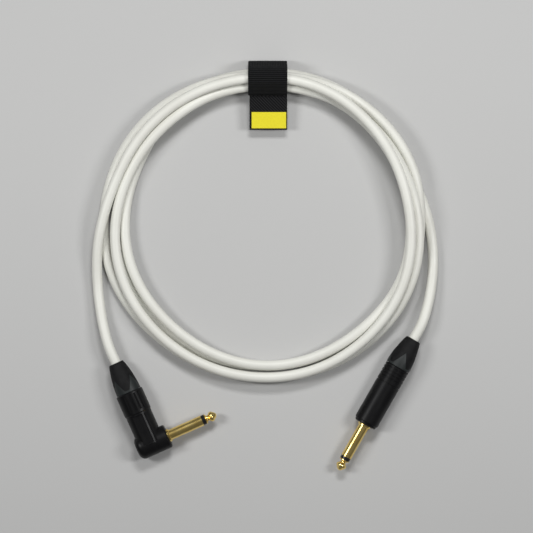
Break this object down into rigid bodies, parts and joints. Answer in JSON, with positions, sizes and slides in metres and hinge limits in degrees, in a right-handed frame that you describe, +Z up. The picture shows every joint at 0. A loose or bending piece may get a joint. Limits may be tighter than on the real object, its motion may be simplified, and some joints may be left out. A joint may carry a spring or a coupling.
{
  "type": "instrument cable",
  "caption": "White instrument cable coiled and held by a hook-and-loop tie, with a straight and a right-angle 6.35 mm phone plug with gold contacts and screw glands.",
  "frame": {"origin": "on the surface the cable lies on, under the middle of the box around the two plugs and the tie", "axes": "+Z up off the surface; +Y from the plugs towards the tie; +X from the right-angle plug towards the straight plug"},
  "size_m": [0.2047, 0.2417, 0.0216],
  "materials": {
    "jacket": "soft satin white PVC",
    "strap_webbing": "woven black hook-and-loop webbing",
    "tab_webbing": "woven black label webbing",
    "label": "woven yellow patch",
    "thread": "black sewing thread",
    "black_coated_metal": "satin black coating on die-cast metal",
    "boot_rubber": "matt black elastomer",
    "bushing_plastic": "satin black hard plastic",
    "chuck_plastic": "natural white acetal",
    "gold_contact": "polished gold plating",
    "insulator": "black moulded plastic",
    "terminal_metal": "stamped brass, plated",
    "solder": "bright solder",
    "copper_braid": "bare copper braid",
    "core_plastic": "red polyethylene insulation",
    "copper": "bare stranded copper"
  },
  "bodies": {
    "cable": {"cable_lead_angle": "jacket", "cable_lead_straight": "jacket", "cable_coil": "jacket", "tie_strap": "strap_webbing", "tie_stitching": "thread", "straight_housing": "black_coated_metal", "straight_sleeve_contact": "gold_contact", "straight_tip_insulator": "insulator", "straight_tip_contact": "gold_contact", "straight_insulating_washer": "insulator", "straight_ground_terminal": "terminal_metal", "straight_tip_terminal": "terminal_metal", "straight_solder_joints": "solder", "straight_cable_jacket": "jacket", "straight_cable_braid": "copper_braid", "straight_cable_core": "core_plastic", "straight_cable_conductor": "copper", "angle_housing": "black_coated_metal", "angle_sleeve_contact": "gold_contact", "angle_tip_insulator": "insulator", "angle_tip_contact": "gold_contact", "angle_insulating_washer": "insulator", "angle_ground_terminal": "terminal_metal", "angle_tip_terminal": "terminal_metal", "angle_solder_joints": "solder", "angle_cable_jacket": "jacket", "angle_cable_braid": "copper_braid", "angle_cable_core": "core_plastic", "angle_cable_conductor": "copper"},
    "tie_tab": {"tie_tab": "tab_webbing", "tie_label_patch": "label"},
    "straight_chuck": {"straight_chuck": "chuck_plastic"},
    "straight_gland": {"straight_boot": "boot_rubber", "straight_bushing": "bushing_plastic"},
    "angle_chuck": {"angle_chuck": "chuck_plastic"},
    "angle_gland": {"angle_boot": "boot_rubber", "angle_bushing": "bushing_plastic"}
  },
  "joints": [
    {"name": "straight_gland_travel", "type": "slide", "parent": "cable", "child": "straight_chuck", "axis": [0.497, 0.8678, 0], "range_m": [0, 0.006]},
    {"name": "straight_gland_turn", "type": "hinge", "parent": "straight_chuck", "child": "straight_gland", "pos_m": [0.0879, -0.04375, 0.00752], "axis": [0.497, 0.8678, 0], "range_deg": [0, 1440]},
    {"name": "angle_gland_travel", "type": "slide", "parent": "cable", "child": "angle_chuck", "axis": [-0.4067, 0.9135, 0], "range_m": [0, 0.006]},
    {"name": "angle_gland_turn", "type": "hinge", "parent": "angle_chuck", "child": "angle_gland", "pos_m": [-0.0874, -0.0577, 0.0082], "axis": [-0.4067, 0.9135, 0], "range_deg": [0, 1440]},
    {"name": "tab_lift", "type": "hinge", "parent": "cable", "child": "tie_tab", "pos_m": [0.0023, 0.0988, 0.0093], "axis": [-1, 0, 0], "range_deg": [0, 90]}
  ],
  "couplings": [
    {"joint": "straight_gland_turn", "follows": "straight_gland_travel", "rad_per_m": 4188.8},
    {"joint": "angle_gland_turn", "follows": "angle_gland_travel", "rad_per_m": 4188.8}
  ]
}
